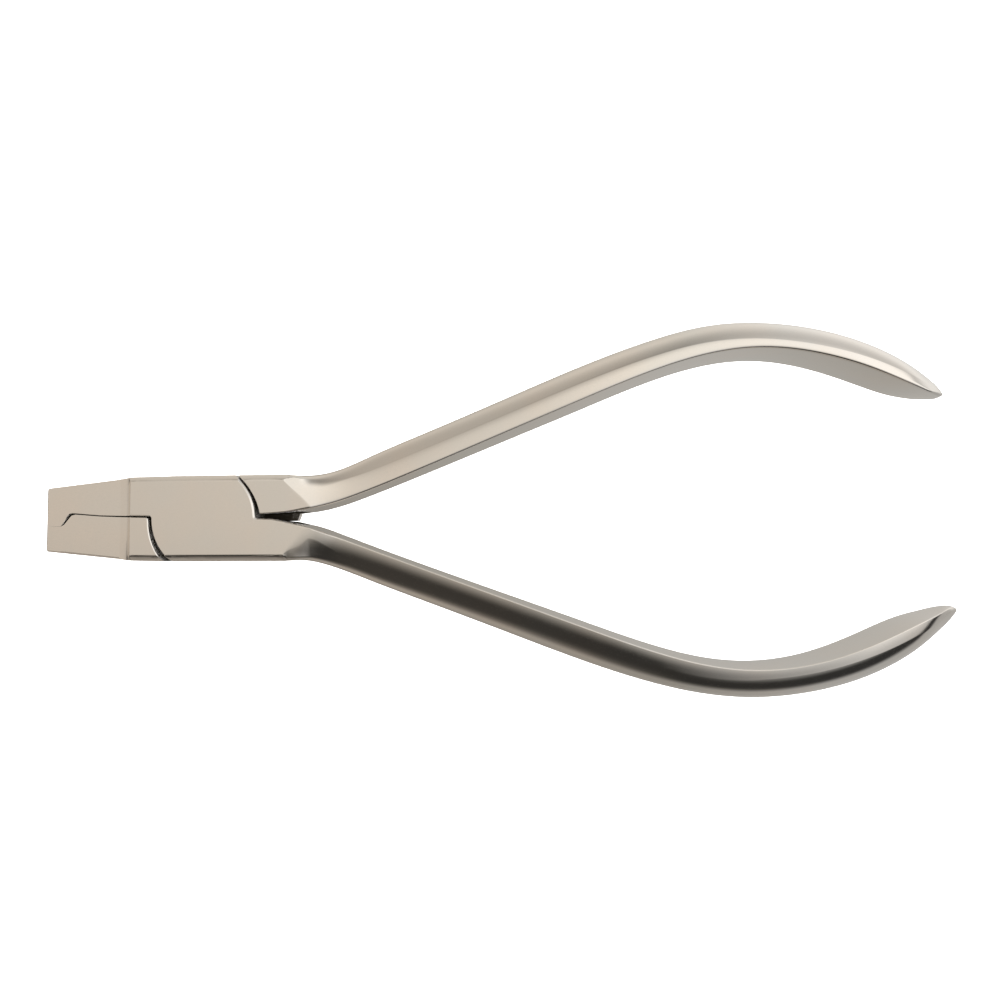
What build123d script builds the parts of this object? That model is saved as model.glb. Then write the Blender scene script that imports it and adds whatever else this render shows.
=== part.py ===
"""Lap-joint crimping pliers: two forged halves crossing at a flat circular lap,
held together by one shoulder screw put in from the rear.

Frame: origin on the pivot axis in the plane of the rear joint face, +X along the
tool towards the handles (jaws point to -X), +Y towards the handle of rear_half,
+Z up out of the front joint face. Millimetres.

Pieces
  front_half   upper jaw, front lap disc and the handle on the -Y side, one forging
  rear_half    lower jaw, rear lap disc and the handle on the +Y side, one forging
  pivot_screw  slotted shoulder screw: flush head, plain journal, threaded end
"""

import math
import os

from build123d import *

# ------------------------------------------------------------------ driving sizes
HEAD_T = 9.0          # thickness of the joint, rear face z=0 to front face z=9
Z_MID = HEAD_T / 2    # plane where the two laps slide on each other
LAP_GAP = 0.03        # each lap stands this far back from that plane
JAW_T = 6.8           # jaws are thinner than the joint
X_TIP = -26.95        # front end of the jaws
X_STEP = -12.0        # face edge of the step between jaws and joint
RAMP_R = 3.15         # concave radius at that step
RAMP_X = 2.40         # its length along X
W_HEAD = 6.75         # half width of the joint
W_STEP = 6.64         # half width at the step
W_TIP = 5.05          # half width of the upper jaw at its front end
W_TIP_LOW = 5.15      # and of the lower jaw
BEVEL_Y, BEVEL_Z = 1.05, 0.84   # bevel on the joint's four long edges
BEVEL_EASE = ((0.26, 0.0), (0.50, 0.24))    # its edge to the face is rolled over, see below
JAW_BEVEL = 0.30      # bevel on the jaws' long outer edges
DISC_JAW = 8.55       # radius of the lap discs on the jaws' side
DISC_GRIP = 8.34      # and on the handles' side
# bevels where a lap's parting line and arc meet the faces: disc handles' side, disc
# jaws' side, shoulder handles' side, shoulder jaws' side
LAP_BREAKS = (0.24, 0.12, 0.10, 0.12)
PLAN_R = 0.45         # corners of the laps' outlines, in plan
X_ROOT = 13.0         # where the joint block ends and the handle begins

SCREW_HEAD_R, SCREW_HEAD_H = 3.20, 1.40
JOURNAL_R = 2.50      # plain bearing part of the screw
RUN_CLEAR = 0.03      # radial clearance between journal and rear lap
THREAD_R = 2.00       # threaded end, in the front lap
THREAD_CLEAR = 0.02
THREAD_TOP = 7.80     # end of the screw; the front face stays closed
HOLE_TOP = 8.00       # floor of its blind hole
HEAD_SINK = 0.05      # the head's face lies just under the rear joint face
HEAD_CLEAR = 0.06     # radial clearance round the head
SEAT_Z = 1.49         # floor of the head's seat in the rear lap
SLOT_W, SLOT_D = 0.90, 0.70
CORNER = 0.42         # rounding of the handles' inner edges

# Handle sections, one row each:
# X, inner |Y|, outer |Y|, half depth at the inner face, facet slope, facet share,
# and the outer curve's three shape factors
UPPER = [
    (13.0, 0.84, 6.75, 5.76, 0.25926, 0.82234, 0.0, 0.0, 0.0),
    (15.5, 1.129, 6.723, 5.020, 0.256, 0.783, 0.802, 0.679, 0.743),
    (18, 1.543, 6.984, 4.300, 0.260, 0.700, 0.720, 0.600, 0.660),
    (20.5, 2.135, 7.607, 3.750, 0.258, 0.633, 0.645, 0.559, 0.592),
    (23, 2.914, 8.573, 3.440, 0.253, 0.580, 0.581, 0.530, 0.538),
    (26, 3.985, 9.883, 3.314, 0.249, 0.540, 0.559, 0.519, 0.519),
    (30, 5.495, 11.534, 3.359, 0.247, 0.522, 0.557, 0.514, 0.514),
    (35, 7.456, 13.516, 3.539, 0.245, 0.514, 0.554, 0.511, 0.509),
    (41, 9.857, 15.917, 3.770, 0.243, 0.503, 0.552, 0.508, 0.505),
    (47, 12.272, 18.360, 4.026, 0.241, 0.492, 0.551, 0.507, 0.502),
    (53, 14.681, 20.814, 4.303, 0.237, 0.479, 0.550, 0.504, 0.501),
    (59, 17.106, 23.185, 4.503, 0.231, 0.463, 0.550, 0.501, 0.500),
    (65, 19.507, 25.370, 4.569, 0.225, 0.443, 0.550, 0.493, 0.500),
    (70.5, 21.509, 27.128, 4.582, 0.219, 0.417, 0.550, 0.482, 0.500),
    (75.5, 22.992, 28.401, 4.614, 0.211, 0.385, 0.550, 0.471, 0.500),
    (80.5, 23.953, 29.078, 4.690, 0.203, 0.342, 0.550, 0.463, 0.500),
    (85, 24.220, 29.110, 4.807, 0.200, 0.305, 0.550, 0.460, 0.500),
    (89.36, 23.854, 28.711, 4.979, 0.200, 0.285, 0.550, 0.460, 0.500),
    (93.23, 23.062, 28.009, 5.184, 0.200, 0.283, 0.550, 0.460, 0.500),
    (96.61, 22.066, 27.112, 5.373, 0.200, 0.292, 0.550, 0.460, 0.500),
    (99.52, 21.014, 26.095, 5.485, 0.200, 0.306, 0.550, 0.460, 0.500),
    (101.94, 20.025, 25.053, 5.453, 0.202, 0.320, 0.550, 0.460, 0.500),
    (104.36, 18.997, 23.811, 5.225, 0.208, 0.335, 0.550, 0.460, 0.500),
    (106.29, 18.234, 22.661, 4.773, 0.214, 0.348, 0.550, 0.460, 0.500),
    (108.03, 17.646, 21.490, 3.970, 0.220, 0.360, 0.550, 0.460, 0.500),
    (109.49, 17.242, 20.380, 3.079, 0.225, 0.371, 0.550, 0.460, 0.500),
    (110.65, 16.978, 19.387, 2.268, 0.230, 0.380, 0.550, 0.460, 0.500),
    (111.52, 16.973, 18.451, 1.494, 0.233, 0.387, 0.550, 0.460, 0.500),
    (112.1, 17.250, 17.600, 0.850, 0.236, 0.392, 0.550, 0.460, 0.500),
]
LOWER = [
    (13.0, 0.60, 6.75, 5.76, 0.24706, 0.82927, 0.0, 0.0, 0.0),
    (15.5, 1.164, 6.735, 5.020, 0.256, 0.783, 0.802, 0.679, 0.743),
    (18, 1.913, 7.228, 4.300, 0.260, 0.700, 0.720, 0.600, 0.660),
    (20.5, 2.778, 8.023, 3.750, 0.258, 0.633, 0.645, 0.559, 0.592),
    (23, 3.686, 8.949, 3.440, 0.253, 0.580, 0.581, 0.530, 0.538),
    (26, 4.785, 10.101, 3.314, 0.249, 0.540, 0.559, 0.519, 0.519),
    (30, 6.231, 11.588, 3.359, 0.247, 0.522, 0.557, 0.514, 0.514),
    (35, 8.016, 13.402, 3.539, 0.245, 0.514, 0.554, 0.511, 0.509),
    (41, 10.144, 15.582, 3.770, 0.243, 0.503, 0.552, 0.508, 0.505),
    (47, 12.263, 17.791, 4.026, 0.241, 0.492, 0.551, 0.507, 0.502),
    (53, 14.378, 20.014, 4.304, 0.237, 0.479, 0.550, 0.504, 0.501),
    (59, 16.506, 22.157, 4.503, 0.231, 0.463, 0.550, 0.501, 0.500),
    (65, 18.606, 24.105, 4.568, 0.225, 0.443, 0.550, 0.493, 0.500),
    (70.5, 20.347, 25.602, 4.582, 0.219, 0.417, 0.550, 0.482, 0.500),
    (75.5, 21.611, 26.617, 4.615, 0.211, 0.385, 0.550, 0.471, 0.500),
    (80.5, 22.351, 27.173, 4.690, 0.203, 0.342, 0.550, 0.463, 0.500),
    (85, 22.440, 27.210, 4.806, 0.200, 0.305, 0.550, 0.460, 0.500),
    (89.5, 21.940, 26.787, 4.985, 0.200, 0.285, 0.550, 0.460, 0.500),
    (93.5, 20.997, 26.038, 5.202, 0.200, 0.284, 0.550, 0.460, 0.500),
    (97, 19.804, 25.083, 5.389, 0.200, 0.294, 0.550, 0.460, 0.500),
    (100, 18.555, 23.984, 5.486, 0.200, 0.308, 0.550, 0.460, 0.500),
    (102.5, 17.391, 22.827, 5.456, 0.203, 0.323, 0.550, 0.460, 0.500),
    (105, 16.213, 21.408, 5.235, 0.210, 0.339, 0.550, 0.460, 0.500),
    (107, 15.360, 20.050, 4.771, 0.217, 0.353, 0.550, 0.460, 0.500),
    (108.8, 14.695, 18.648, 3.923, 0.223, 0.366, 0.550, 0.460, 0.500),
    (110.3, 14.131, 17.375, 3.014, 0.228, 0.378, 0.550, 0.460, 0.500),
    (111.5, 13.684, 16.283, 2.211, 0.233, 0.387, 0.550, 0.460, 0.500),
    (112.4, 13.655, 15.319, 1.462, 0.237, 0.395, 0.550, 0.460, 0.500),
    (113, 13.950, 14.550, 0.850, 0.240, 0.400, 0.550, 0.460, 0.500),
]


def section_points(row):
    """Control points of one section's upper quarter, as (|y|, z from mid plane)."""
    x, yi, yo, h, slope, share, k1, tb, k2 = row
    w = yo - yi
    yr = yi + share * w
    zr = h - slope * share * w
    c = min(CORNER, 0.22 * w, 0.3 * h)
    corner = [(yi, h - c), (yi, h), (yi + c, h - slope * c)]
    if k1 == 0.0:  # the joint block's own bevelled edge, drawn with straight pieces
        zs = Z_MID - BEVEL_Z
        yr, zr = yo - BEVEL_Y, Z_MID
        a = [(yr, zr)] + [(yr + dy, zr - dz) for dy, dz in BEVEL_EASE] + [(yo, zs)]
        b = [(yo, zs * (1 - t)) for t in (0, 1 / 3, 2 / 3, 1)]
        return corner, (yr, zr), a, b
    wo = yo - yr
    p = [(yr, zr), (yr + k1 * wo, zr - k1 * wo * tb), (yo, k2 * zr), (yo, 0.0)]
    t = 0.42

    def mix(u, v):
        return (u[0] + (v[0] - u[0]) * t, u[1] + (v[1] - u[1]) * t)

    q0, q1, q2 = mix(p[0], p[1]), mix(p[1], p[2]), mix(p[2], p[3])
    r0, r1 = mix(q0, q1), mix(q1, q2)
    s = mix(r0, r1)
    return corner, (yr, zr), [p[0], q0, r0, s], [s, r1, q2, p[3]]


def handle_section(row, side):
    """One handle section in the plane X = row[0]; side is +1 or -1."""
    corner, ridge, a, b = section_points(row)

    def v(p, mirror=1):
        return (side * p[0], Z_MID + mirror * p[1])

    with BuildLine(Plane.YZ.offset(row[0])) as outline:
        Line(v(corner[0], -1), v(corner[0]))
        Bezier(*[v(p) for p in corner])
        Line(v(corner[2]), v(ridge))
        Bezier(*[v(p) for p in a])
        Bezier(*[v(p) for p in b])
        Bezier(*[v(p, -1) for p in reversed(b)])
        Bezier(*[v(p, -1) for p in reversed(a)])
        Line(v(ridge, -1), v(corner[2], -1))
        Bezier(*[v(p, -1) for p in reversed(corner)])
    return Face(outline.wire())


# ------------------------------------------------------------------ handles
with BuildPart() as handle_lower:
    loft(sections=[handle_section(row, -1) for row in LOWER[:2]], ruled=True)
    loft(sections=[handle_section(row, -1) for row in LOWER[1:]])
    with BuildSketch(Plane.XY.offset(HEAD_T)):
        with Locations((X_ROOT + 3.0, -6.0)):
            Rectangle(8, 14)
    extrude(amount=3, mode=Mode.SUBTRACT)
    with BuildSketch(Plane.XY):
        with Locations((X_ROOT + 3.0, -6.0)):
            Rectangle(8, 14)
    extrude(amount=-3, mode=Mode.SUBTRACT)

with BuildPart() as handle_upper:
    loft(sections=[handle_section(row, 1) for row in UPPER[:2]], ruled=True)
    loft(sections=[handle_section(row, 1) for row in UPPER[1:]])
    with BuildSketch(Plane.XY.offset(HEAD_T)):
        with Locations((X_ROOT + 3.0, 6.0)):
            Rectangle(8, 14)
    extrude(amount=3, mode=Mode.SUBTRACT)
    with BuildSketch(Plane.XY):
        with Locations((X_ROOT + 3.0, 6.0)):
            Rectangle(8, 14)
    extrude(amount=-3, mode=Mode.SUBTRACT)


# ------------------------------------------------------------------ jaws
def outer_y(x, tip):
    """Outer |Y| of a jaw at x, on the straight line from the step to the tip."""
    return W_STEP + (tip - W_STEP) * (X_STEP - x) / (X_STEP - X_TIP)


X_RAMP = X_STEP - RAMP_X          # where the step's concave radius starts
Z_JAW_LO = (HEAD_T - JAW_T) / 2
Z_JAW_HI = Z_JAW_LO + JAW_T
RAMP_Z = Z_JAW_HI + RAMP_R - math.sqrt(RAMP_R**2 - RAMP_X**2)

# the crimping step: the upper jaw's nose hooks down over the lower jaw's ramp
UPPER_BITE = [(X_TIP, -1.085), (-24.40, -1.085), (-23.77, -0.34), (-23.36, 0.48),
              (-22.93, 0.91), (-22.33, 0.99), (-21.88, 0.955), (-17.74, 0.60)]
LOWER_BITE = [(X_TIP, -1.10), (-24.37, -1.115), (-23.84, -0.83), (-23.08, 0.06),
              (-22.58, 0.62), (-21.92, 0.79), (-17.74, 0.45)]
UPPER_ROOT = (X_RAMP, 0.50)
LOWER_ROOT = (X_RAMP, 0.31)
REAR_ROOT = (X_RAMP, 0.465)       # in the rear lap the two halves nearly touch
# a low rib on the lower jaw's bite: the jaws close on it, and it shuts the slot between them
RIB = [(-21.6, 0.50), (-21.6, 0.906), (-17.74, 0.575), (X_RAMP + 0.3, 0.470),
       (X_RAMP + 0.3, 0.15), (-17.74, 0.25)]
RIB_DOWN = 1.2                    # how far below the jaws' faces it lies


def jaw_edges(solid):
    """The rim of both broad faces on the outside and round the nose."""
    rim = solid.edges().filter_by_position(Axis.Z, Z_JAW_HI, Z_JAW_HI)
    rim += solid.edges().filter_by_position(Axis.Z, Z_JAW_LO, Z_JAW_LO)
    return rim


with BuildPart() as jaw_upper:
    with BuildSketch(Plane.XY.offset(Z_JAW_LO)) as plan:
        with BuildLine():
            Polyline(*UPPER_BITE, UPPER_ROOT, (X_RAMP + 0.4, UPPER_ROOT[1]),
                     (X_RAMP + 0.4, outer_y(X_RAMP + 0.4, W_TIP)), (X_TIP, W_TIP), close=True)
        make_face()
        fillet(plan.vertices().group_by(Axis.X)[0].sort_by(Axis.Y)[-1], 0.45)
    extrude(amount=JAW_T)
    chamfer([e for e in jaw_edges(jaw_upper) if e.center().Y > 1.4], JAW_BEVEL)

with BuildPart() as jaw_lower:
    with BuildSketch(Plane.XY.offset(Z_JAW_LO)) as plan:
        with BuildLine():
            Polyline(*LOWER_BITE, LOWER_ROOT, (X_RAMP + 0.4, LOWER_ROOT[1]),
                     (X_RAMP + 0.4, -outer_y(X_RAMP + 0.4, W_TIP_LOW)), (X_TIP, -W_TIP_LOW),
                     close=True)
        make_face()
        fillet(plan.vertices().group_by(Axis.X)[0].sort_by(Axis.Y)[0], 0.45)
    extrude(amount=JAW_T)
    chamfer([e for e in jaw_edges(jaw_lower) if e.center().Y < -2.0], JAW_BEVEL)
    with BuildSketch(Plane.XY.offset(Z_JAW_LO + RIB_DOWN)):
        with BuildLine():
            Polyline(*RIB, close=True)
        make_face()
    extrude(amount=JAW_T - 2 * RIB_DOWN)

# ------------------------------------------------------------------ joint halves
def on_disc(radius, y):
    """Point of a lap disc's arc at height y, on the +X side."""
    return math.sqrt(radius**2 - y**2), y


def disc_arc(radius, end, y, side):
    """Arc of a lap disc from its parting line to the long edge; end is its X side."""
    near, far = on_disc(radius, y), on_disc(radius, side * W_HEAD)
    a = math.radians(25)
    ThreePointArc((end * near[0], near[1]),
                  (end * radius * math.cos(a), side * radius * math.sin(a)),
                  (end * far[0], far[1]))


STOP_Y = -0.34       # rear lap's parting line behind the pivot: it nearly meets and stops the closing
STOP_X = on_disc(DISC_GRIP, STOP_Y)[0]
EDGE_JAW = on_disc(DISC_JAW, W_HEAD)[0]     # where the discs leave the long edges
EDGE_GRIP = on_disc(DISC_GRIP, W_HEAD)[0]
FRONT_Y, REAR_Y = 0.40, 0.36         # the discs' parting lines at the jaws' side
FRONT_X = -on_disc(DISC_JAW, FRONT_Y)[0]
REAR_X = -on_disc(DISC_JAW, REAR_Y)[0]
BACK_Y = -0.10                       # and the front disc's at the handles' side
BACK_X = on_disc(DISC_GRIP, BACK_Y)[0]


PAST = 0.6                     # how far cutters run past the metal
X_CUT = X_RAMP - PAST


def step_profile(face, jaw, away):
    """Sketches the air in front of the joint's step, in XZ; away is +1 or -1."""
    turn = math.asin(RAMP_X / RAMP_R)
    top = jaw + away * (RAMP_Z - Z_JAW_HI)
    half = (X_RAMP + RAMP_R * math.sin(turn / 2), jaw + away * RAMP_R * (1 - math.cos(turn / 2)))
    with BuildSketch(Plane.XZ) as profile:
        with BuildLine():
            Polyline((X_STEP, top), (X_STEP, face + away * PAST), (X_CUT, face + away * PAST),
                     (X_CUT, jaw), (X_RAMP, jaw))
            ThreePointArc((X_RAMP, jaw), half, (X_STEP, top))
        make_face()
    return profile.sketch


def bevel_profile(side, face, away):
    """Sketches the corner taken off one long edge of the joint, in YZ."""
    inner = W_HEAD - BEVEL_Y
    with BuildSketch(Plane.YZ.offset(X_CUT)) as profile:
        with BuildLine():
            Bezier((side * inner, face),
                   *[(side * (inner + dy), face - away * dz) for dy, dz in BEVEL_EASE],
                   (side * W_HEAD, face - away * BEVEL_Z))
            Polyline((side * W_HEAD, face - away * BEVEL_Z),
                     (side * (W_HEAD + PAST), face - away * BEVEL_Z),
                     (side * (W_HEAD + PAST), face + away * PAST),
                     (side * inner, face + away * PAST), (side * inner, face))
        make_face()
    return profile.sketch


def cut_step_and_bevels(joint):
    """The step down to the jaws and the bevels on the four long edges."""
    shaped = joint
    for away, face, jaw in ((1, HEAD_T, Z_JAW_HI), (-1, 0.0, Z_JAW_LO)):
        shaped = shaped - extrude(step_profile(face, jaw, away), amount=12, both=True)
        for side in (1, -1):
            shaped = shaped - extrude(bevel_profile(side, face, away), amount=X_ROOT - X_CUT)
    return shaped


def ease(plan, x, y, radius):
    """Rounds, in plan, the outline's corner nearest to (x, y)."""
    corner = min(plan.vertices(), key=lambda v: (v.X - x) ** 2 + (v.Y - y) ** 2)
    return fillet(corner, radius)


def lap_rim(joint, z, end):
    """Rim edges of one lap: parting line, eased corner and arc; end is +1 or -1 along X."""
    rim = joint.edges().filter_by_position(Axis.Z, z, z)
    return [e for e in rim if e.center().X * end > 5.0
            and (e.geom_type == GeomType.CIRCLE or abs(e.center().Y) < 1.2)
            and abs(e.center().X) < 12.9]


with BuildPart() as front_joint:
    with BuildSketch(Plane.XY.offset(Z_MID + LAP_GAP)) as plan:
        with BuildLine():
            Line(UPPER_ROOT, (FRONT_X, FRONT_Y))
            disc_arc(DISC_JAW, -1, FRONT_Y, -1)
            Polyline((-EDGE_JAW, -W_HEAD), (X_ROOT, -W_HEAD), (X_ROOT, -LOWER[0][1]),
                     (11.16, -0.20), (BACK_X, BACK_Y))
            disc_arc(DISC_GRIP, 1, BACK_Y, 1)
            Polyline((EDGE_GRIP, W_HEAD), (-5.0, W_HEAD), (X_STEP, W_STEP),
                     (X_RAMP, outer_y(X_RAMP, W_TIP)), UPPER_ROOT)
        make_face()
        ease(plan, FRONT_X, FRONT_Y, PLAN_R)
        ease(plan, BACK_X, BACK_Y, PLAN_R)
    extrude(amount=Z_MID - LAP_GAP)
    with BuildSketch(Plane.XY) as plan:
        with BuildLine():
            Line(UPPER_ROOT, (-9.05, FRONT_Y))
            ThreePointArc((-9.05, FRONT_Y), (-8.54, 3.44), (-6.62, W_HEAD))
            Polyline((-6.62, W_HEAD), (X_STEP, W_STEP), (X_RAMP, outer_y(X_RAMP, W_TIP)),
                     UPPER_ROOT)
        make_face()
        with BuildLine():
            Polyline((X_ROOT, -LOWER[0][1]), (12.40, STOP_Y - 0.12), (9.15, STOP_Y - 0.12))
            ThreePointArc((9.15, STOP_Y - 0.12), (8.14, -3.46), (5.40, -W_HEAD))
            Polyline((5.40, -W_HEAD), (X_ROOT, -W_HEAD), (X_ROOT, -LOWER[0][1]))
        make_face()
        ease(plan, -9.05, FRONT_Y, PLAN_R)
        ease(plan, 9.15, STOP_Y - 0.12, PLAN_R / 2)
    extrude(amount=Z_MID + LAP_GAP)

    chamfer(lap_rim(front_joint, HEAD_T, 1), LAP_BREAKS[0])
    chamfer(lap_rim(front_joint, HEAD_T, -1), LAP_BREAKS[1])
    chamfer(lap_rim(front_joint, 0.0, 1), LAP_BREAKS[2])
    chamfer(lap_rim(front_joint, 0.0, -1), LAP_BREAKS[3])


with BuildPart() as rear_joint:
    with BuildSketch(Plane.XY) as plan:
        with BuildLine():
            Line(REAR_ROOT, (REAR_X, REAR_Y))
            disc_arc(DISC_JAW, -1, REAR_Y, 1)
            Polyline((-EDGE_JAW, W_HEAD), (X_ROOT, W_HEAD), (X_ROOT, UPPER[0][1]), (12.55, STOP_Y),
                     (STOP_X, STOP_Y))
            disc_arc(DISC_GRIP, 1, STOP_Y, -1)
            Polyline((EDGE_GRIP, -W_HEAD), (-5.0, -W_HEAD), (X_STEP, -W_STEP),
                     (X_RAMP, -outer_y(X_RAMP, W_TIP_LOW)), REAR_ROOT)
        make_face()
        ease(plan, REAR_X, REAR_Y, PLAN_R)
    extrude(amount=Z_MID - LAP_GAP)
    with BuildSketch(Plane.XY.offset(Z_MID - LAP_GAP)) as plan:
        with BuildLine():
            Line(LOWER_ROOT, (-9.05, 0.16))
            ThreePointArc((-9.05, 0.16), (-8.54, -3.44), (-6.62, -W_HEAD))
            Polyline((-6.62, -W_HEAD), (X_STEP, -W_STEP), (X_RAMP, -outer_y(X_RAMP, W_TIP_LOW)),
                     LOWER_ROOT)
        make_face()
        with BuildLine():
            Polyline((X_ROOT, UPPER[0][1]), (11.15, 0.70), (9.15, 0.63))
            ThreePointArc((9.15, 0.63), (8.14, 3.46), (5.40, W_HEAD))
            Polyline((5.40, W_HEAD), (X_ROOT, W_HEAD), (X_ROOT, UPPER[0][1]))
        make_face()
        ease(plan, -9.05, 0.16, PLAN_R)
        ease(plan, 9.15, 0.63, PLAN_R / 2)
    extrude(amount=Z_MID + LAP_GAP)
    chamfer(lap_rim(rear_joint, 0.0, 1), LAP_BREAKS[0])
    chamfer(lap_rim(rear_joint, 0.0, -1), LAP_BREAKS[1])
    chamfer(lap_rim(rear_joint, HEAD_T, 1), LAP_BREAKS[2])
    chamfer(lap_rim(rear_joint, HEAD_T, -1), LAP_BREAKS[3])

front_block = cut_step_and_bevels(front_joint.part)
rear_block = cut_step_and_bevels(rear_joint.part)

# ------------------------------------------------------------------ the three pieces
with BuildPart() as front_half:
    add(front_block)
    add(jaw_upper.part)
    add(handle_lower.part)
    # blind hole for the screw's threaded end, opening on the sliding plane
    with BuildSketch(Plane.XY.offset(Z_MID)):
        Circle(THREAD_R + THREAD_CLEAR)
    extrude(amount=HOLE_TOP - Z_MID, mode=Mode.SUBTRACT)

with BuildPart() as rear_half:
    add(rear_block)
    add(jaw_lower.part)
    add(handle_upper.part)
    # bearing bore and the seat that takes the screw's head
    with BuildSketch(Plane.XY):
        Circle(JOURNAL_R + RUN_CLEAR)
    extrude(amount=Z_MID, mode=Mode.SUBTRACT)
    with BuildSketch(Plane.XY):
        Circle(SCREW_HEAD_R + HEAD_CLEAR)
    extrude(amount=SEAT_Z, mode=Mode.SUBTRACT)

with BuildPart() as pivot_screw:
    with BuildSketch(Plane.XY.offset(HEAD_SINK)):
        Circle(SCREW_HEAD_R)
    extrude(amount=SCREW_HEAD_H)
    with BuildSketch(Plane.XY.offset(HEAD_SINK + SCREW_HEAD_H)):
        Circle(JOURNAL_R)
    extrude(amount=Z_MID + LAP_GAP - 0.01 - HEAD_SINK - SCREW_HEAD_H)
    with BuildSketch(Plane.XY.offset(Z_MID)):
        Circle(THREAD_R)
    extrude(amount=THREAD_TOP - Z_MID)
    chamfer(pivot_screw.edges().group_by(Axis.Z)[-1], 0.35)
    chamfer(pivot_screw.edges().group_by(Axis.Z)[0], 0.15)
    with BuildSketch(Plane.XY):
        Rectangle(SLOT_W, 2 * SCREW_HEAD_R + 1)
    extrude(amount=HEAD_SINK + SLOT_D, mode=Mode.SUBTRACT)

front_half.part.label = "front_half"
rear_half.part.label = "rear_half"
pivot_screw.part.label = "pivot_screw"

os.makedirs("parts", exist_ok=True)
export_step(front_half.part, "parts/front_half.step")
export_step(rear_half.part, "parts/rear_half.step")
export_step(pivot_screw.part, "parts/pivot_screw.step")

for piece in (front_half, rear_half, pivot_screw):
    box = piece.part.bounding_box()
    print(piece.part.label, round(piece.part.volume, 1), "mm3", piece.part.is_valid,
          len(piece.part.solids()), "solid", len(piece.part.faces()), "faces",
          [round(v, 2) for v in (*box.min, *box.max)])
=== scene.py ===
"""Looks of the crimping pliers: forged satin steel halves, turned pivot screw, plain pale studio."""

import math

import bmesh
import bpy
import numpy as np
from mathutils import Matrix, Vector


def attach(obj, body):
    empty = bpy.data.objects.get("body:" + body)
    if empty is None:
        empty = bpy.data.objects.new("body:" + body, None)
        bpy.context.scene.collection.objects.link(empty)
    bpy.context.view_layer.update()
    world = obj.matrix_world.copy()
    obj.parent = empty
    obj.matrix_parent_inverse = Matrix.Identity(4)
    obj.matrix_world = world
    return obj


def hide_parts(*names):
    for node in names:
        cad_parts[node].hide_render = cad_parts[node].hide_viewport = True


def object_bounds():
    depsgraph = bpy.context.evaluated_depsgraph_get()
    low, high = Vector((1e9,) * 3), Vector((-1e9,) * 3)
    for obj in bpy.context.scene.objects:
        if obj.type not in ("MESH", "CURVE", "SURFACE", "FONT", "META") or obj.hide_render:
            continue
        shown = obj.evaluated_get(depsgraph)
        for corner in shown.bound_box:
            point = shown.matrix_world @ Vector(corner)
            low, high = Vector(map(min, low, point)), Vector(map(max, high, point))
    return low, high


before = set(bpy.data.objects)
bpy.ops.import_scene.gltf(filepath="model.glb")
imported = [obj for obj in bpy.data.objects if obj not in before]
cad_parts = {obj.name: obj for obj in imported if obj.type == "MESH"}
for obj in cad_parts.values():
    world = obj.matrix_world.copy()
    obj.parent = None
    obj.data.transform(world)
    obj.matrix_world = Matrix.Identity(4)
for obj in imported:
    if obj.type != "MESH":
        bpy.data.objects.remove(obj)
cad_low, cad_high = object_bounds()

MM = 0.001
Z_MID = 4.5            # mid plane of the joint, mm
HALF_T = 4.5           # half thickness of the joint, mm
X_ROOT = 13.0          # joint block ends, handle begins
BEVEL_Y, BEVEL_Z = 1.05, 0.84
BEVEL_EASE = ((0.26, 0.0), (0.50, 0.24))

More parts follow.
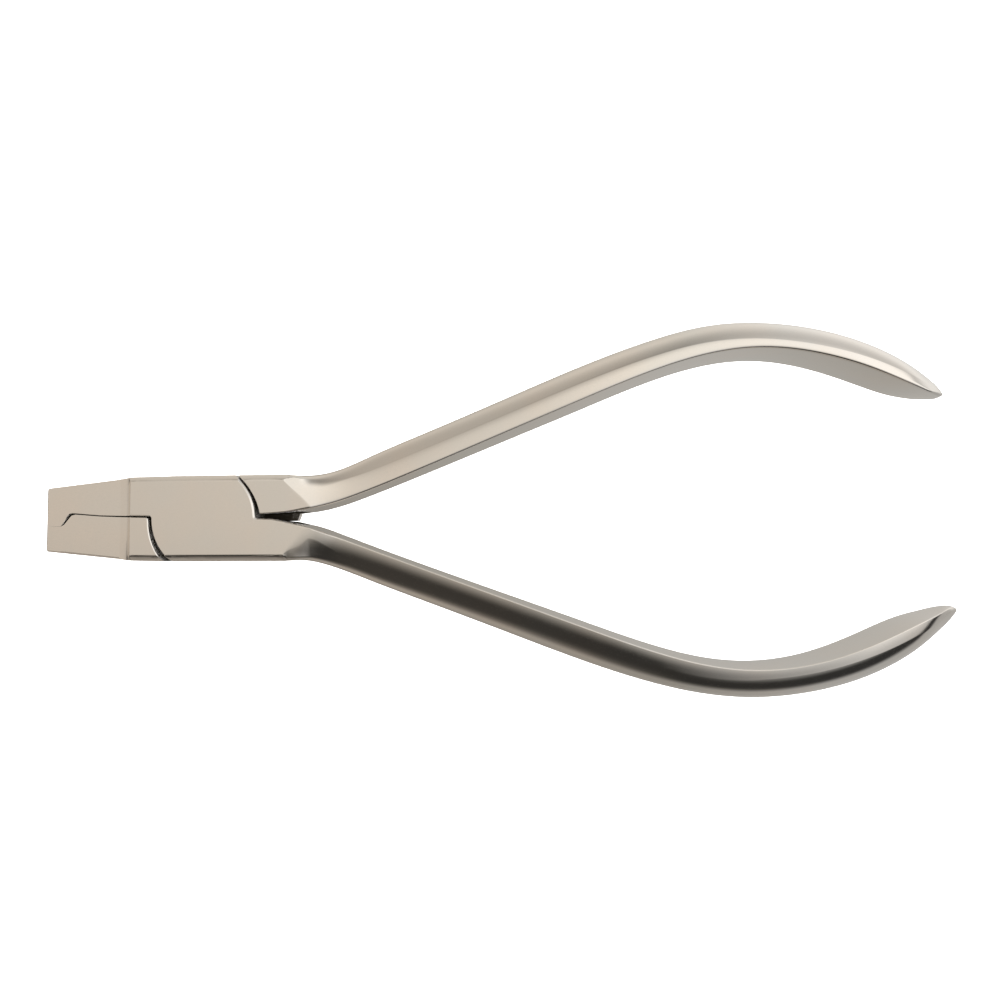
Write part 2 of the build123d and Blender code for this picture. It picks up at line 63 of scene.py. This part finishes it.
# ---------------------------------------------------------------- handle tables
# X, inner |Y|, outer |Y|, half depth at inner face, facet slope, facet share, curve factors
UPPER = [
    (13.0, 0.84, 6.75, 5.76, 0.25926, 0.82234, 0.90, 0.78, 0.80),
    (15.5, 1.129, 6.723, 5.020, 0.256, 0.783, 0.802, 0.679, 0.743),
    (18, 1.543, 6.984, 4.300, 0.260, 0.700, 0.720, 0.600, 0.660),
    (20.5, 2.135, 7.607, 3.750, 0.258, 0.633, 0.645, 0.559, 0.592),
    (23, 2.914, 8.573, 3.440, 0.253, 0.580, 0.581, 0.530, 0.538),
    (26, 3.985, 9.883, 3.314, 0.249, 0.540, 0.559, 0.519, 0.519),
    (30, 5.495, 11.534, 3.359, 0.247, 0.522, 0.557, 0.514, 0.514),
    (35, 7.456, 13.516, 3.539, 0.245, 0.514, 0.554, 0.511, 0.509),
    (41, 9.857, 15.917, 3.770, 0.243, 0.503, 0.552, 0.508, 0.505),
    (47, 12.272, 18.360, 4.026, 0.241, 0.492, 0.551, 0.507, 0.502),
    (53, 14.681, 20.814, 4.303, 0.237, 0.479, 0.550, 0.504, 0.501),
    (59, 17.106, 23.185, 4.503, 0.231, 0.463, 0.550, 0.501, 0.500),
    (65, 19.507, 25.370, 4.569, 0.225, 0.443, 0.550, 0.493, 0.500),
    (70.5, 21.509, 27.128, 4.582, 0.219, 0.417, 0.550, 0.482, 0.500),
    (75.5, 22.992, 28.401, 4.614, 0.211, 0.385, 0.550, 0.471, 0.500),
    (80.5, 23.953, 29.078, 4.690, 0.203, 0.342, 0.550, 0.463, 0.500),
    (85, 24.220, 29.110, 4.807, 0.200, 0.305, 0.550, 0.460, 0.500),
    (89.36, 23.854, 28.711, 4.979, 0.200, 0.285, 0.550, 0.460, 0.500),
    (93.23, 23.062, 28.009, 5.184, 0.200, 0.283, 0.550, 0.460, 0.500),
    (96.61, 22.066, 27.112, 5.373, 0.200, 0.292, 0.550, 0.460, 0.500),
    (99.52, 21.014, 26.095, 5.485, 0.200, 0.306, 0.550, 0.460, 0.500),
    (101.94, 20.025, 25.053, 5.453, 0.202, 0.320, 0.550, 0.460, 0.500),
    (104.36, 18.997, 23.811, 5.225, 0.208, 0.335, 0.550, 0.460, 0.500),
    (106.29, 18.234, 22.661, 4.773, 0.214, 0.348, 0.550, 0.460, 0.500),
    (108.03, 17.646, 21.490, 3.970, 0.220, 0.360, 0.550, 0.460, 0.500),
    (109.49, 17.242, 20.380, 3.079, 0.225, 0.371, 0.550, 0.460, 0.500),
    (110.65, 16.978, 19.387, 2.268, 0.230, 0.380, 0.550, 0.460, 0.500),
    (111.52, 16.973, 18.451, 1.494, 0.233, 0.387, 0.550, 0.460, 0.500),
    (112.1, 17.250, 17.600, 0.850, 0.236, 0.392, 0.550, 0.460, 0.500),
]
LOWER = [
    (13.0, 0.60, 6.75, 5.76, 0.24706, 0.82927, 0.90, 0.78, 0.80),
    (15.5, 1.164, 6.735, 5.020, 0.256, 0.783, 0.802, 0.679, 0.743),
    (18, 1.913, 7.228, 4.300, 0.260, 0.700, 0.720, 0.600, 0.660),
    (20.5, 2.778, 8.023, 3.750, 0.258, 0.633, 0.645, 0.559, 0.592),
    (23, 3.686, 8.949, 3.440, 0.253, 0.580, 0.581, 0.530, 0.538),
    (26, 4.785, 10.101, 3.314, 0.249, 0.540, 0.559, 0.519, 0.519),
    (30, 6.231, 11.588, 3.359, 0.247, 0.522, 0.557, 0.514, 0.514),
    (35, 8.016, 13.402, 3.539, 0.245, 0.514, 0.554, 0.511, 0.509),
    (41, 10.144, 15.582, 3.770, 0.243, 0.503, 0.552, 0.508, 0.505),
    (47, 12.263, 17.791, 4.026, 0.241, 0.492, 0.551, 0.507, 0.502),
    (53, 14.378, 20.014, 4.304, 0.237, 0.479, 0.550, 0.504, 0.501),
    (59, 16.506, 22.157, 4.503, 0.231, 0.463, 0.550, 0.501, 0.500),
    (65, 18.606, 24.105, 4.568, 0.225, 0.443, 0.550, 0.493, 0.500),
    (70.5, 20.347, 25.602, 4.582, 0.219, 0.417, 0.550, 0.482, 0.500),
    (75.5, 21.611, 26.617, 4.615, 0.211, 0.385, 0.550, 0.471, 0.500),
    (80.5, 22.351, 27.173, 4.690, 0.203, 0.342, 0.550, 0.463, 0.500),
    (85, 22.440, 27.210, 4.806, 0.200, 0.305, 0.550, 0.460, 0.500),
    (89.5, 21.940, 26.787, 4.985, 0.200, 0.285, 0.550, 0.460, 0.500),
    (93.5, 20.997, 26.038, 5.202, 0.200, 0.284, 0.550, 0.460, 0.500),
    (97, 19.804, 25.083, 5.389, 0.200, 0.294, 0.550, 0.460, 0.500),
    (100, 18.555, 23.984, 5.486, 0.200, 0.308, 0.550, 0.460, 0.500),
    (102.5, 17.391, 22.827, 5.456, 0.203, 0.323, 0.550, 0.460, 0.500),
    (105, 16.213, 21.408, 5.235, 0.210, 0.339, 0.550, 0.460, 0.500),
    (107, 15.360, 20.050, 4.771, 0.217, 0.353, 0.550, 0.460, 0.500),
    (108.8, 14.695, 18.648, 3.923, 0.223, 0.366, 0.550, 0.460, 0.500),
    (110.3, 14.131, 17.375, 3.014, 0.228, 0.378, 0.550, 0.460, 0.500),
    (111.5, 13.684, 16.283, 2.211, 0.233, 0.387, 0.550, 0.460, 0.500),
    (112.4, 13.655, 15.319, 1.462, 0.237, 0.395, 0.550, 0.460, 0.500),
    (113, 13.950, 14.550, 0.850, 0.240, 0.400, 0.550, 0.460, 0.500),
]


def spline(xs, ys):
    """Natural cubic spline through (xs, ys); ys may have several columns."""
    xs, ys = np.asarray(xs, float), np.asarray(ys, float)
    n = len(xs)
    h = np.diff(xs)
    a = np.zeros((n, n))
    b = np.zeros((n, ys.shape[1]))
    a[0, 0] = a[-1, -1] = 1
    for i in range(1, n - 1):
        a[i, i - 1], a[i, i], a[i, i + 1] = h[i - 1], 2 * (h[i - 1] + h[i]), h[i]
        b[i] = 6 * ((ys[i + 1] - ys[i]) / h[i] - (ys[i] - ys[i - 1]) / h[i - 1])
    m = np.linalg.solve(a, b)

    def f(x):
        i = min(max(int(np.searchsorted(xs, x)) - 1, 0), n - 2)
        d, e = xs[i + 1] - x, x - xs[i]
        k = h[i]
        return ((m[i] * d ** 3 + m[i + 1] * e ** 3) / (6 * k)
                + (ys[i] / k - m[i] * k / 6) * d + (ys[i + 1] / k - m[i + 1] * k / 6) * e)

    return f


def smooth(t):
    t = min(max(t, 0.0), 1.0)
    return t * t * (3 - 2 * t)


def mixed(u, v, t):
    return (u[0] + (v[0] - u[0]) * t, u[1] + (v[1] - u[1]) * t)


def bezier(points, t):
    p = list(points)
    while len(p) > 1:
        p = [mixed(p[i], p[i + 1], t) for i in range(len(p) - 1)]
    return p[0]


N_IN, N_CORNER, N_FLAT, N_FACET, N_RIDGE, N_OUT = 6, 9, 9, 16, 12, 34


def quarter(x, par, corner_x0, x_end, melt, corner, crown_full, ridge, worn):
    """Points (|y|, z) of a quarter section from the inner face's middle to the outer middle."""
    yi, yo, h, slope, share, k1, tb, k2 = par
    w = yo - yi
    yr = yi + share * w
    wf = yr - yi
    lid = HALF_T if x < 20.0 else 99.0        # the joint's flat faces carry on over the handle's root
    s = smooth((x - X_ROOT) / 4.0)            # 0 on the block's bevel, 1 on the forged curve
    crown = crown_full * smooth((x - X_ROOT) / 8.0)   # the facet is crowned, steeper towards the ridge
    bulge = 0.12 * smooth((x - 20.0) / 15.0) * min(1.0, h / 4.0)
    c_full = min(corner, 0.24 * w, 0.3 * h)
    c = corner_x0 + (c_full - corner_x0) * smooth((x - X_ROOT) / 7.0)

    k = melt * smooth((x - X_ROOT) / 3.0)     # how softly the block's face runs into the facet
    lift = 0.45 * k * (1 - smooth((x - 16.5) / 6.0))

    def top(y):
        t = (y - yi) / wf
        z = h + lift - slope * wf * ((1 - crown) * t + crown * t * t)
        d = abs(z - lid)
        return min(lid, z) - (0.25 * (k - d) ** 2 / k if d < k else 0.0)

    def inner(z):
        return yi + bulge * ((z / z_in) ** 2 - 0.5)

    zr = top(yr)
    z_in = min(h, lid)
    pts = [(inner((z_in - c) * i / N_IN), (z_in - c) * i / N_IN) for i in range(N_IN)]
    cp = [(inner(z_in - c), z_in - c), (inner(z_in), z_in), (yi + c, top(yi + c))]
    for i in range(N_CORNER):
        t = i / N_CORNER
        pts.append(mixed(mixed(cp[0], cp[2], t), bezier(cp, t), max(s, 0.15)))
    fall = max(h + lift - HALF_T, 0.0) / (slope * wf)
    if crown > 1e-4:
        fall = (math.sqrt((1 - crown) ** 2 + 4 * crown * fall) - (1 - crown)) / (2 * crown)
    y_crease = min(max(yi + fall * wf, yi + c), yr)
    for i in range(N_FLAT):
        y = yi + c + (y_crease - yi - c) * i / N_FLAT
        pts.append((y, top(y)))
    # ridge rounding: a soft blend between the facet and the outer curve
    wear = worn * smooth((x - X_ROOT) / 1.8) * (1 - smooth((x - 16.5) / 7.0))
    rb = ridge * s * min(1.0, 0.12 * w) + wear
    y_end = max(yr - rb, y_crease)
    for i in range(N_FACET):
        y = y_crease + (y_end - y_crease) * i / N_FACET
        pts.append((y, top(y)))
    wo = yo - yr
    cb = [(yr, zr), (yr + k1 * wo, zr - k1 * wo * tb), (yo, k2 * zr), (yo, 0.0)]
    zs = HALF_T - BEVEL_Z

    def outer(t):
        curve = bezier(cb, t)
        if t < 0.36:
            u = t / 0.36
            block = bezier([(yo - BEVEL_Y, HALF_T)] + [(yo - BEVEL_Y + dy, HALF_T - dz)
                                                       for dy, dz in BEVEL_EASE] + [(yo, zs)], u)
        else:
            block = (yo, zs * (1 - (t - 0.36) / 0.64))
        y, z = mixed(block, curve, s)
        cut = zr - slope * (y - yr) if top(yr) < lid - 0.02 else z     # the facet runs out through the bevel
        return (y, min(z, max(cut, 0.0)) if t < 0.36 else z)

    t_b = min(rb / max(wo, 0.2) * 0.55, 0.2)
    a, b = (y_end, top(y_end)), outer(t_b)
    for i in range(N_RIDGE):
        y_mid = max(yr - 0.42 * max(wear - 0.8, 0.0), y_end)
        pts.append(bezier([a, (y_mid, top(y_mid)), b], i / N_RIDGE))
    for i in range(N_OUT + 1):
        pts.append(outer(t_b + (1 - t_b) * i / N_OUT))
    # towards its end the section is ground round, the more so the nearer the tip
    e = 0.62 * smooth((x - (x_end - 3.2)) / 3.0)
    if e > 0:
        zt = max(p[1] for p in pts)
        yc = (yi + yo) / 2
        round_off = []
        for y, z in pts:
            u, v = (y - yc) / (w / 2), z / zt
            k = (abs(u) ** 2.5 + abs(v) ** 2.5) ** (-1 / 2.5)
            round_off.append(mixed((y, z), (yc + (y - yc) * k, z * k), e if k < 1 else e * 0.5))
        pts = round_off
    return pts


def handle_rings(rows, side, corner_top, corner_low, shape):
    """Rings of one handle in mm, from just past the joint block to the tip."""
    f = spline([r[0] for r in rows], [r[1:] for r in rows])
    x_end = rows[-1][0]
    stations, x = [], X_ROOT + 0.04
    while x < x_end - 0.30:
        stations.append(x)
        x += 0.20 if x < 24 else (0.34 if x < 104 else 0.16)
    stations += [x_end - 0.30, x_end - 0.16]
    rings = []
    for x in stations:
        par = f(x)
        up = quarter(x, par, corner_top, x_end, *shape)
        low = quarter(x, par, corner_low, x_end, *shape)
        ring = [(x, side * y, Z_MID + z) for y, z in up]
        ring += [(x, side * y, Z_MID - z) for y, z in reversed(low[1:-1])]
        rings.append(ring)
    last = np.array(rings[-1])
    mid = last.mean(0)
    for x, k in ((x_end - 0.07, 0.84), (x_end - 0.015, 0.58), (x_end, 0.28)):
        r = mid + (last - mid) * k
        r[:, 0] = x
        rings.append([tuple(p) for p in r])
    return rings


def rim(bm):
    """The open rim's vertices in order."""
    edges = [e for e in bm.edges if e.is_boundary]
    nxt = {}
    for e in edges:
        for v in e.verts:
            nxt.setdefault(v, []).append(e.other_vert(v))
    start = edges[0].verts[0]
    loop, prev, cur = [start], None, start
    while True:
        step = [v for v in nxt[cur] if v is not prev]
        prev, cur = cur, step[0]
        if cur is start:
            return loop
        loop.append(cur)


def turned(loop):
    """The loop run anticlockwise about X, from the corner nearest the joint's middle, bottom."""
    area = sum(a.co.y * b.co.z - b.co.y * a.co.z for a, b in zip(loop, loop[1:] + loop[:1]))
    if area < 0:
        loop = loop[::-1]
    i = min(range(len(loop)), key=lambda k: abs(loop[k].co.y) + 0.2 * abs(loop[k].co.z - 0.0045))
    return loop[i:] + loop[:i]


def lengths(loop):
    total, out = 0.0, [0.0]
    for a, b in zip(loop, loop[1:] + loop[:1]):
        total += (b.co - a.co).length
        out.append(total)
    return [v / total for v in out]


def forging(name, node, rows, side, corner_top, corner_low, shape):
    """One closed half: the CAD joint and jaw, joined to a finely sectioned handle."""
    bm = bmesh.new()
    bm.from_mesh(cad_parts[node].data)
    bmesh.ops.remove_doubles(bm, verts=bm.verts, dist=1e-6)
    bmesh.ops.bisect_plane(bm, geom=bm.verts[:] + bm.edges[:] + bm.faces[:], dist=2e-7,
                           plane_co=(X_ROOT * MM, 0, 0), plane_no=(1, 0, 0), clear_outer=True)
    bmesh.ops.dissolve_limit(bm, angle_limit=math.radians(0.2), verts=bm.verts, edges=bm.edges)
    a = turned(rim(bm))
    rings = []
    for ring in handle_rings(rows, side, corner_top, corner_low, shape):
        line = []
        for p in ring:
            p = Vector(p) * MM
            if line and (line[-1].co - p).length < 2e-7:
                line.append(line[-1])
            else:
                line.append(bm.verts.new(p))
        rings.append(line)
    for r0, r1 in zip(rings, rings[1:]):
        for j in range(len(r0)):
            k = (j + 1) % len(r0)
            face = []
            for v in (r0[j], r0[k], r1[k], r1[j]):
                if v not in face:
                    face.append(v)
            if len(face) > 2:
                bm.faces.new(face)
    cap = []
    for v in rings[-1]:
        if v not in cap:
            cap.append(v)
    bm.faces.new(cap)
    first = []
    for v in rings[0]:
        if v not in first:
            first.append(v)
    b = turned(first)
    la, lb = lengths(a), lengths(b)
    i = j = 0
    while i < len(a) or j < len(b):
        if j == len(b) or (i < len(a) and la[i + 1] <= lb[j + 1]):
            bm.faces.new((a[i], a[(i + 1) % len(a)], b[j % len(b)]))
            i += 1
        else:
            bm.faces.new((a[i % len(a)], b[(j + 1) % len(b)], b[j]))
            j += 1
    bmesh.ops.recalc_face_normals(bm, faces=bm.faces)
    me = bpy.data.meshes.new(name)
    bm.to_mesh(me)
    bm.free()
    o = bpy.data.objects.new(name, me)
    bpy.context.scene.collection.objects.link(o)
    return o


def link(name, me):
    o = bpy.data.objects.new(name, me)
    bpy.context.scene.collection.objects.link(o)
    return o


def applied(o):
    """The object's mesh with its modifiers applied."""
    deps = bpy.context.evaluated_depsgraph_get()
    me = bpy.data.meshes.new_from_object(o.evaluated_get(deps))
    o.modifiers.clear()
    o.data = me
    return o


def creases(o, limit):
    """Marks sharp edges by angle; the step's concave radius stays smooth."""
    bm = bmesh.new()
    bm.from_mesh(o.data)
    bmesh.ops.remove_doubles(bm, verts=bm.verts, dist=3e-7)
    bmesh.ops.dissolve_degenerate(bm, edges=bm.edges, dist=3e-7)
    for f in bm.faces:
        f.smooth = True
    for e in bm.edges:
        ang = e.calc_face_angle(0.0) if len(e.link_faces) == 2 else 3.0
        mid = (e.verts[0].co + e.verts[1].co) / 2 / MM
        in_ramp = -14.35 < mid.x < -12.05
        e.smooth = ang < math.radians(24 if in_ramp else limit)
    open_edges = [e for e in bm.edges if len(e.link_faces) != 2]
    print("MESH", o.name, "verts", len(bm.verts), "faces", len(bm.faces), "open", len(open_edges),
          [tuple(round(c / MM, 3) for c in e.verts[0].co) for e in open_edges[:4]])
    bm.to_mesh(o.data)
    bm.free()
    w = o.modifiers.new("normals", "WEIGHTED_NORMAL")
    w.keep_sharp = True
    w.weight = 60
    applied(o)


halves = {}
# shape: softness at the root, rounding of the inner corner, crown of the facet, rounding of the ridge
for node, rows, side, c_top, c_low, shape, body in (
        ("front_half", LOWER, -1, 0.24, 0.10, (0.60, 0.18, 0.60, 0.26, 2.20), "front_body"),
        ("rear_half", UPPER, 1, 0.10, 0.12, (0.06, 0.55, 0.50, 0.18, 0.80), "rear_body")):
    o = forging(node + "_forging", node, rows, side, c_top, c_low, shape)
    creases(o, 10.5)
    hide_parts(node)
    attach(o, body)
    halves[node] = o

# ---------------------------------------------------------------- materials
class Nodes:
    """Small helper for building a node tree."""

    def __init__(self, tree):
        self.t = tree

    def add(self, kind, **inputs):
        n = self.t.nodes.new(kind)
        for k, v in inputs.items():
            if k.startswith("_"):
                setattr(n, k[1:], v)
        for k, v in inputs.items():
            if not k.startswith("_"):
                self.put(n, k.replace("__", " "), v)
        return n

    def put(self, node, key, value):
        sock = node.inputs[int(key[1:])] if key[0] == "i" and key[1:].isdigit() else node.inputs[key]
        if isinstance(value, bpy.types.NodeSocket):
            self.t.links.new(value, sock)
        else:
            sock.default_value = value

    def math(self, op, a, b=0.0, c=0.0, clamp=False):
        return self.add("ShaderNodeMath", _operation=op, _use_clamp=clamp, i0=a, i1=b, i2=c).outputs[0]

    def mix(self, fac, a, b, blend="MIX"):
        n = self.add("ShaderNodeMix", _data_type="RGBA", _blend_type=blend)
        self.put(n, "i0", fac)
        self.put(n, "i6", a)
        self.put(n, "i7", b)
        return n.outputs[2]

    def remap(self, v, f0, f1, t0, t1):
        return self.add("ShaderNodeMapRange", i0=v, i1=f0, i2=f1, i3=t0, i4=t1).outputs[0]

    def noise(self, vec, scale, detail=2.0, rough=0.5):
        return self.add("ShaderNodeTexNoise", Vector=vec, Scale=scale, Detail=detail,
                        Roughness=rough).outputs["Fac"]


def satin_steel(name, base, rough, stretch, grain, edge_width, gap_shade_strength, rounding):
    """Satin ground steel: fine directional grain, soft tone and roughness drift, brighter worn edges, painted shade in
    the gaps round the joint.
    """
    m = bpy.data.materials.new(name)
    m.use_nodes = True
    n = Nodes(m.node_tree)
    bsdf = m.node_tree.nodes["Principled BSDF"]
    co = n.add("ShaderNodeTexCoord").outputs["Object"]
    mm = n.add("ShaderNodeVectorMath", _operation="SCALE", i0=co)
    mm.inputs["Scale"].default_value = 1000.0          # to millimetres
    mm = mm.outputs[0]
    along = n.add("ShaderNodeVectorMath", _operation="MULTIPLY", i0=mm, i1=stretch).outputs[0]
    lines = n.noise(along, 9.0, 3.0, 0.6)
    speck = n.noise(mm, 7.0, 2.0, 0.6)
    drift = n.noise(mm, 0.11, 2.0, 0.5)
    patch = n.noise(mm, 0.55, 3.0, 0.55)
    # worn edges: where a rounded normal departs from the true one
    geo = n.add("ShaderNodeNewGeometry")
    soft = n.add("ShaderNodeBevel", _samples=4, Radius=edge_width)
    dot = n.add("ShaderNodeVectorMath", _operation="DOT_PRODUCT", i0=soft.outputs[0],
                i1=geo.outputs["Normal"]).outputs["Value"]
    edge = n.remap(dot, 0.995, 0.90, 0.0, 1.0)
    edge = n.math("MULTIPLY", edge, n.remap(patch, 0.35, 0.65, 0.55, 1.0))
    # painted shade: the gaps round the joint turn a near-black, non-metallic colour where the metal nearly closes on
    # itself (short-range ambient occlusion)
    place = n.add("ShaderNodeSeparateXYZ", Vector=mm).outputs
    open_air = n.add("ShaderNodeAmbientOcclusion", _samples=6, Distance=0.0024).outputs["AO"]
    here = n.math("MULTIPLY", n.remap(place["X"], 17.0, 26.0, 1.0, 0.0), n.remap(place["Z"], 0.9, 1.8, 0.0, 1.0))
    here = n.math("MULTIPLY", here, n.remap(place["X"], -24.6, -24.2, 0.0, 1.0))
    painted_gap_shade = n.math("MULTIPLY", n.remap(open_air, 0.50, 0.20, 0.0, 1.0), here)
    # painted shade: a position mask in the V behind the pivot darkens it the same way, only where ambient occlusion
    # shows the parts stand close
    painted_v_shade = n.math("MULTIPLY", n.remap(place["X"], 17.0, 14.5, 0.0, 1.0), n.remap(place["X"], 8.0, 8.4, 0.0, 1.0))
    painted_v_shade = n.math("MULTIPLY", painted_v_shade, n.remap(n.math("ABSOLUTE", place["Y"]), 1.5, 1.2, 0.0, 1.0))
    painted_v_shade = n.math("MULTIPLY", painted_v_shade, n.math("MULTIPLY", n.remap(place["Z"], 0.9, 1.6, 0.0, 1.0),
                                               n.remap(place["Z"], 8.4, 6.5, 0.0, 1.0)))
    painted_v_shade = n.math("MULTIPLY", painted_v_shade, n.remap(open_air, 0.95, 0.75, 0.0, 1.0))
    painted_gap_shade = n.math("MAXIMUM", painted_gap_shade, painted_v_shade)
    dark = tuple(c * 0.93 for c in base) + (1,)
    warm = (min(base[0] * 1.035, 1), base[1] * 1.0, base[2] * 0.975, 1)
    col = n.mix(n.remap(drift, 0.35, 0.65, 0.0, 1.0), (*base, 1), warm)
    col = n.mix(n.math("MULTIPLY", n.remap(speck, 0.40, 0.75, 0.0, 1.0), 0.55), col, dark)
    col = n.mix(n.math("MULTIPLY", n.remap(lines, 0.35, 0.75, 0.0, 1.0), 0.35), col, dark)
    col = n.mix(n.math("MULTIPLY", edge, 0.7), col, (min(base[0] * 1.10, 1), min(base[1] * 1.11, 1), min(base[2] * 1.12, 1), 1))
    # painted shade: near-black colour mixed in over the gaps round the joint
    col = n.mix(n.math("MULTIPLY", painted_gap_shade, gap_shade_strength), col, (0.020, 0.017, 0.012, 1))
    n.put(bsdf, "Base Color", col)
    # painted shade: metallic is lowered where the gap shade is painted
    n.put(bsdf, "Metallic", n.math("SUBTRACT", 1.0, n.math("MULTIPLY", painted_gap_shade, gap_shade_strength)))
    bsdf.inputs["Specular IOR Level"].default_value = 0.0
    r = n.remap(patch, 0.3, 0.7, rough - 0.020, rough + 0.025)
    r = n.math("ADD", r, n.remap(lines, 0.3, 0.7, -0.015, 0.020))
    r = n.math("SUBTRACT", r, n.math("MULTIPLY", edge, 0.05))
    n.put(bsdf, "Roughness", r)
    height = n.math("ADD", n.math("MULTIPLY", lines, 0.6), n.math("MULTIPLY", speck, 0.4))
    at_nose = n.remap(place["X"], -24.6, -24.0, 0.0, rounding)   # the jaws' ends close without a line
    rounded = n.add("ShaderNodeBevel", _samples=6, Radius=at_nose).outputs[0]
    bump = n.add("ShaderNodeBump", Strength=grain, Distance=0.00002, Height=height, Normal=rounded)
    n.put(bsdf, "Normal", bump.outputs[0])
    return m


forged = satin_steel("satin_forged_steel", (0.785, 0.760, 0.728), 0.105, (0.16, 1.0, 1.0), 0.05, 0.00022, 1.0, 0.00010)
for o in halves.values():
    o.data.materials.clear()
    o.data.materials.append(forged)
turned_steel = satin_steel("satin_turned_steel", (0.760, 0.742, 0.716), 0.24, (1.0, 1.0, 0.2), 0.12, 0.00012, 0.0, 0.00005)
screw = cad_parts["pivot_screw"]
screw.data.materials.clear()
screw.data.materials.append(turned_steel)

# ---------------------------------------------------------------- stage
floor_me = bpy.data.meshes.new("floor")
z0 = cad_low[2] - 0.020         # the pliers lie over the floor on a clear rest, without a contact shadow
floor_me.from_pydata([(-3, -3, z0), (3, -3, z0), (3, 3, z0), (-3, 3, z0)], [], [(0, 1, 2, 3)])
floor = link("floor", floor_me)
fm = bpy.data.materials.new("pale_floor")
fm.use_nodes = True
fb = fm.node_tree.nodes["Principled BSDF"]
fb.inputs["Base Color"].default_value = (0.93, 0.93, 0.93, 1)
fb.inputs["Roughness"].default_value = 0.95
fb.inputs["Specular IOR Level"].default_value = 0.0
floor_me.materials.append(fm)
floor.visible_glossy = False

# A plain light tent round the table: what the steel mirrors. A soft box overhead, pale walls and one
# dark card low on the -Y side, dimmer and a little warmer towards the jaws. Each row is one slice across
# the tool: its place along the tool, its tint, and the stops as angle from straight up and brightness.
TENT = (
    (-0.65, (1.00, 0.90, 0.78), ((-180, 0.15), (-95, 0.40), (-65, 0.05), (-40, 0.05), (5, 0.60),
                                 (60, 0.50), (100, 0.60), (180, 0.15))),
    (-0.05, (1.00, 0.95, 0.86), ((-180, 0.35), (-105, 0.30), (-80, 0.03), (-40, 0.03), (5, 0.70),
                                 (40, 0.90), (58, 0.30), (100, 0.70), (180, 0.35))),
    (0.45, (1.00, 0.98, 0.94), ((-180, 0.50), (-105, 0.40), (-85, 0.03), (-70, 0.03), (-50, 0.50),
                                (10, 1.10), (45, 1.10), (75, 0.60), (120, 0.90), (180, 0.50))),
)
dome_me = bpy.data.meshes.new("dome")
bm = bmesh.new()
bmesh.ops.create_uvsphere(bm, u_segments=96, v_segments=48, radius=1.6)
bm.to_mesh(dome_me)
bm.free()
dome = link("dome", dome_me)
dome.location = (0.045, 0.0, 0.0045)
dm = bpy.data.materials.new("tent")
dm.use_nodes = True
dm.node_tree.nodes.clear()
n = Nodes(dm.node_tree)
d = n.add("ShaderNodeVectorMath", _operation="NORMALIZE", i0=n.add("ShaderNodeTexCoord").outputs["Object"]).outputs[0]
sep = n.add("ShaderNodeSeparateXYZ", Vector=d).outputs
angle = n.math("ARCTAN2", sep["Y"], sep["Z"])
pos = n.math("MULTIPLY_ADD", angle, 1 / (2 * math.pi), 0.5)
tone = None
for k, (x, tint, stops) in enumerate(TENT):
    ramp = n.add("ShaderNodeValToRGB", Fac=pos)
    ramp.color_ramp.interpolation = "EASE"
    els = ramp.color_ramp.elements
    while len(els) < len(stops):
        els.new(0.5)
    for e, (deg, level) in zip(els, stops):
        e.position = (deg + 180) / 360
        e.color = (*(level * t for t in tint), 1)
    one = ramp.outputs[0]
    tone = one if tone is None else n.mix(n.remap(sep["X"], TENT[k - 1][0], x, 0.0, 1.0), tone, one)
emit = n.add("ShaderNodeEmission", Color=tone, Strength=1.15)
out = n.add("ShaderNodeOutputMaterial")
dm.node_tree.links.new(emit.outputs[0], out.inputs["Surface"])
dm.cycles.emission_sampling = "NONE"
dome_me.materials.append(dm)
dome.visible_camera = dome.visible_diffuse = dome.visible_shadow = False
dome.visible_transmission = dome.visible_volume_scatter = False

world = bpy.data.worlds.new("studio")
bpy.context.scene.world = world
world.use_nodes = True
bg = world.node_tree.nodes["Background"]
bg.inputs["Color"].default_value = (1, 1, 1, 1)
bg.inputs["Strength"].default_value = 3.4
world.cycles_visibility.glossy = False

# ---------------------------------------------------------------- camera
cam_data = bpy.data.cameras.new("camera")
cam_data.sensor_width = 36.0
cam_data.lens = 28.726
cam_data.clip_start = 0.005
cam = bpy.data.objects.new("camera", cam_data)
bpy.context.scene.collection.objects.link(cam)
rot = Matrix(((0.994558, -0.005528, -0.104040), (0.010892, 0.998636, 0.051066),
              (0.103616, -0.051921, 0.993261))).transposed()
cam.matrix_world = Matrix.Translation((0.059141, -0.003897, 0.128134)) @ rot.to_4x4()
bpy.context.scene.camera = cam
bpy.context.scene.view_settings.view_transform = "Standard"
